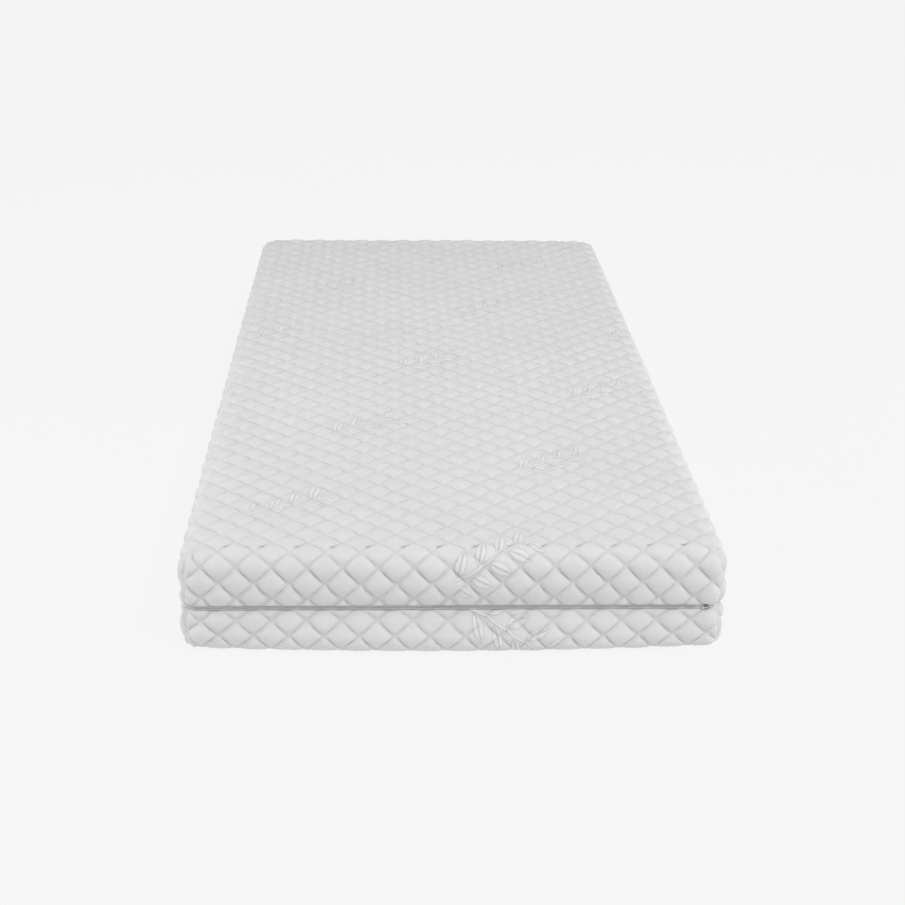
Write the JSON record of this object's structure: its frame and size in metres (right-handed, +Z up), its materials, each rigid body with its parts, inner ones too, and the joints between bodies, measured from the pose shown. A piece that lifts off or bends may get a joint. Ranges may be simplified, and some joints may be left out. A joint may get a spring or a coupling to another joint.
{
  "type": "memory foam mattress",
  "caption": "Single memory foam mattress in a diamond-quilted white knit cover, whose upper half zips off round a two-layer foam core in a stretch liner.",
  "frame": {"origin": "middle of the underside, on the surface the mattress rests on", "axes": "+Z up, +Y along the length away from the end that carries the zip slider, +X across the width towards the parked slider"},
  "size_m": [0.9, 1.9, 0.18],
  "materials": {
    "cover_knit": "white quilted knit with a soft sheen",
    "wadding": "fluffy polyester fibre",
    "backing": "thin spun-bonded cloth",
    "zip_tape": "narrow woven tape",
    "zip_coil": "polyester monofilament coil",
    "zip_metal": "dull zinc casting",
    "label_satin": "blank satin ribbon",
    "liner_jersey": "fine stretch jersey",
    "support_foam": "open-cell foam, cut faces",
    "memory_foam": "dense visco-elastic foam"
  },
  "bodies": {
    "lower_cover": {"lower_cover_knit": "cover_knit", "lower_cover_wadding": "wadding", "lower_cover_backing": "backing", "lower_zip_tape": "zip_tape", "lower_zip_coil": "zip_coil", "lower_zip_stops": "zip_metal", "care_label": "label_satin"},
    "foam_core": {"inner_liner": "liner_jersey", "support_foam_base": "support_foam", "memory_foam_layer": "memory_foam"},
    "upper_cover": {"upper_cover_knit": "cover_knit", "upper_cover_wadding": "wadding", "upper_cover_backing": "backing", "upper_zip_tape": "zip_tape", "upper_zip_coil": "zip_coil", "upper_zip_stops": "zip_metal"},
    "zip_slider": {"zip_slider_body": "zip_metal"},
    "zip_pull": {"zip_pull_ring": "zip_metal"}
  },
  "joints": [
    {"name": "core_lift", "type": "slide", "parent": "lower_cover", "child": "foam_core", "axis": [0, 0, 1], "range_m": [0, 0.2]},
    {"name": "upper_cover_lift", "type": "slide", "parent": "foam_core", "child": "upper_cover", "axis": [0, 0, 1], "range_m": [0, 0.25]},
    {"name": "slider_travel", "type": "slide", "parent": "lower_cover", "child": "zip_slider", "axis": [-1, 0, 0], "range_m": [0, 0.832], "deforming": ["lower_zip_coil", "upper_zip_coil", "lower_zip_tape", "upper_zip_tape"]},
    {"name": "pull_ring_swing", "type": "hinge", "parent": "zip_slider", "child": "zip_pull", "pos_m": [0.414, -0.9485, 0.078], "axis": [0, 0, -1], "range_deg": [0, 170]}
  ]
}
